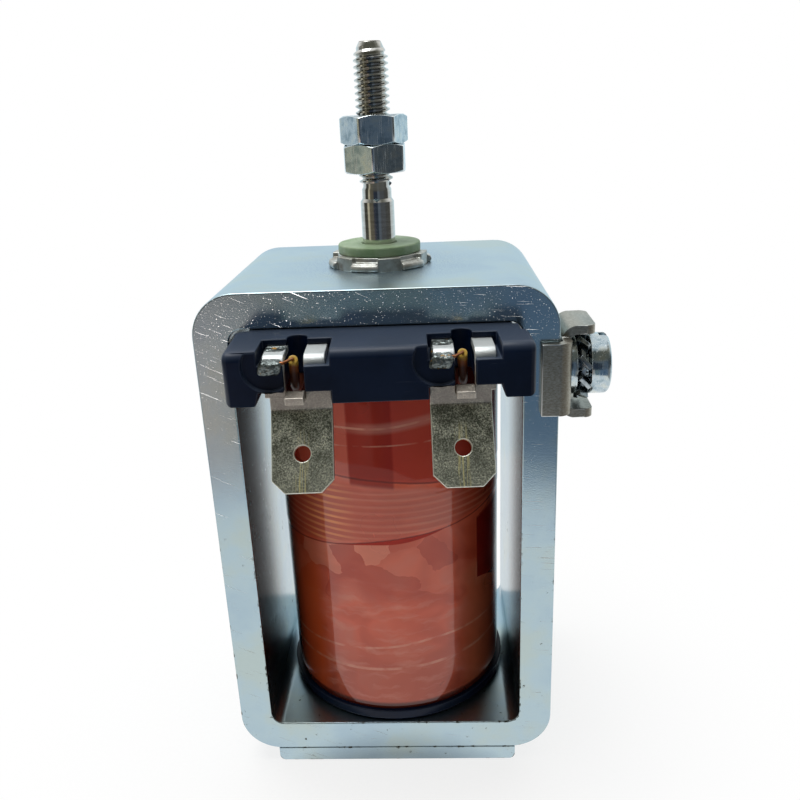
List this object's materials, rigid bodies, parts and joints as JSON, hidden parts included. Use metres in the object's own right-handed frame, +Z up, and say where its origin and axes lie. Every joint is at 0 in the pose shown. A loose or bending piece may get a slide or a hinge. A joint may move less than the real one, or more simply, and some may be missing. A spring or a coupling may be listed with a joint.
{
  "type": "push solenoid",
  "caption": "Open-frame push solenoid: wrapped coil in a steel box yoke, sprung plunger with a threaded push rod and lock nuts, blade terminals on the coil former, earth screw at the side.",
  "frame": {"origin": "on the plunger's axis, on the underside of the base plate", "axes": "+Z up along the push rod, -Y towards the terminals, +X towards the earth screw"},
  "size_m": [0.0461, 0.0422, 0.0881],
  "materials": {
    "zinc_steel": "pale blue-grey zinc plate, satin, scratched",
    "core_steel": "bare turned steel",
    "tube_brass": "drawn, satin",
    "bush_bronze": "sintered, oiled",
    "green_plastic": "sage green, matt",
    "black_plastic": "moulded black, satin",
    "enamelled_copper": "red-brown enamelled copper wire",
    "coil_film": "clear film over copper, red-brown, glossy",
    "tinned_brass": "dull tin plate over brass",
    "solder": "bright solder with flux",
    "brown_sleeve": "brown insulating sleeve",
    "bare_copper": "bare copper wire",
    "stainless_steel": "ground and polished",
    "spring_steel": "plain spring steel",
    "bright_zinc": "bright zinc plate",
    "nickel_steel": "nickel plate, brushed"
  },
  "bodies": {
    "yoke": {"yoke_frame": "zinc_steel", "base_plate": "zinc_steel", "pole_piece": "core_steel", "guide_tube": "tube_brass", "rod_bush": "bush_bronze", "buffer_washer": "green_plastic", "bobbin": "black_plastic", "coil_winding": "enamelled_copper", "coil_wrap": "coil_film", "terminal_tab_left": "tinned_brass", "terminal_tab_right": "tinned_brass", "solder_left": "solder", "solder_right": "solder", "lead_sleeve_left": "brown_sleeve", "lead_sleeve_right": "brown_sleeve", "wire_tail_left": "bare_copper", "wire_tail_right": "bare_copper", "return_spring": "spring_steel", "earth_clamp": "nickel_steel"},
    "plunger": {"armature": "core_steel", "push_rod": "stainless_steel", "anti_stick_washer": "tube_brass", "upper_nut": "bright_zinc", "lower_nut": "bright_zinc"},
    "earth_washers": {"earth_flat_washer": "bright_zinc", "earth_lock_washer": "spring_steel"},
    "earth_screw": {"earth_screw": "bright_zinc"}
  },
  "joints": [
    {"name": "plunger_slide", "type": "slide", "parent": "yoke", "child": "plunger", "axis": [0, 0, 1], "range_m": [0, 0.006], "stiffness_N_per_m": 150, "springref_m": -0.01, "deforming": ["return_spring"]},
    {"name": "earth_slide", "type": "slide", "parent": "yoke", "child": "earth_washers", "axis": [1, 0, 0], "range_m": [0, 0.0021]},
    {"name": "earth_screw_turn", "type": "hinge", "parent": "earth_washers", "child": "earth_screw", "pos_m": [0.0238, -0.0098, 0.0525], "axis": [1, 0, 0], "range_deg": [0, 1080.1]}
  ],
  "couplings": [
    {"joint": "earth_screw_turn", "follows": "earth_slide", "rad_per_m": 8976}
  ]
}
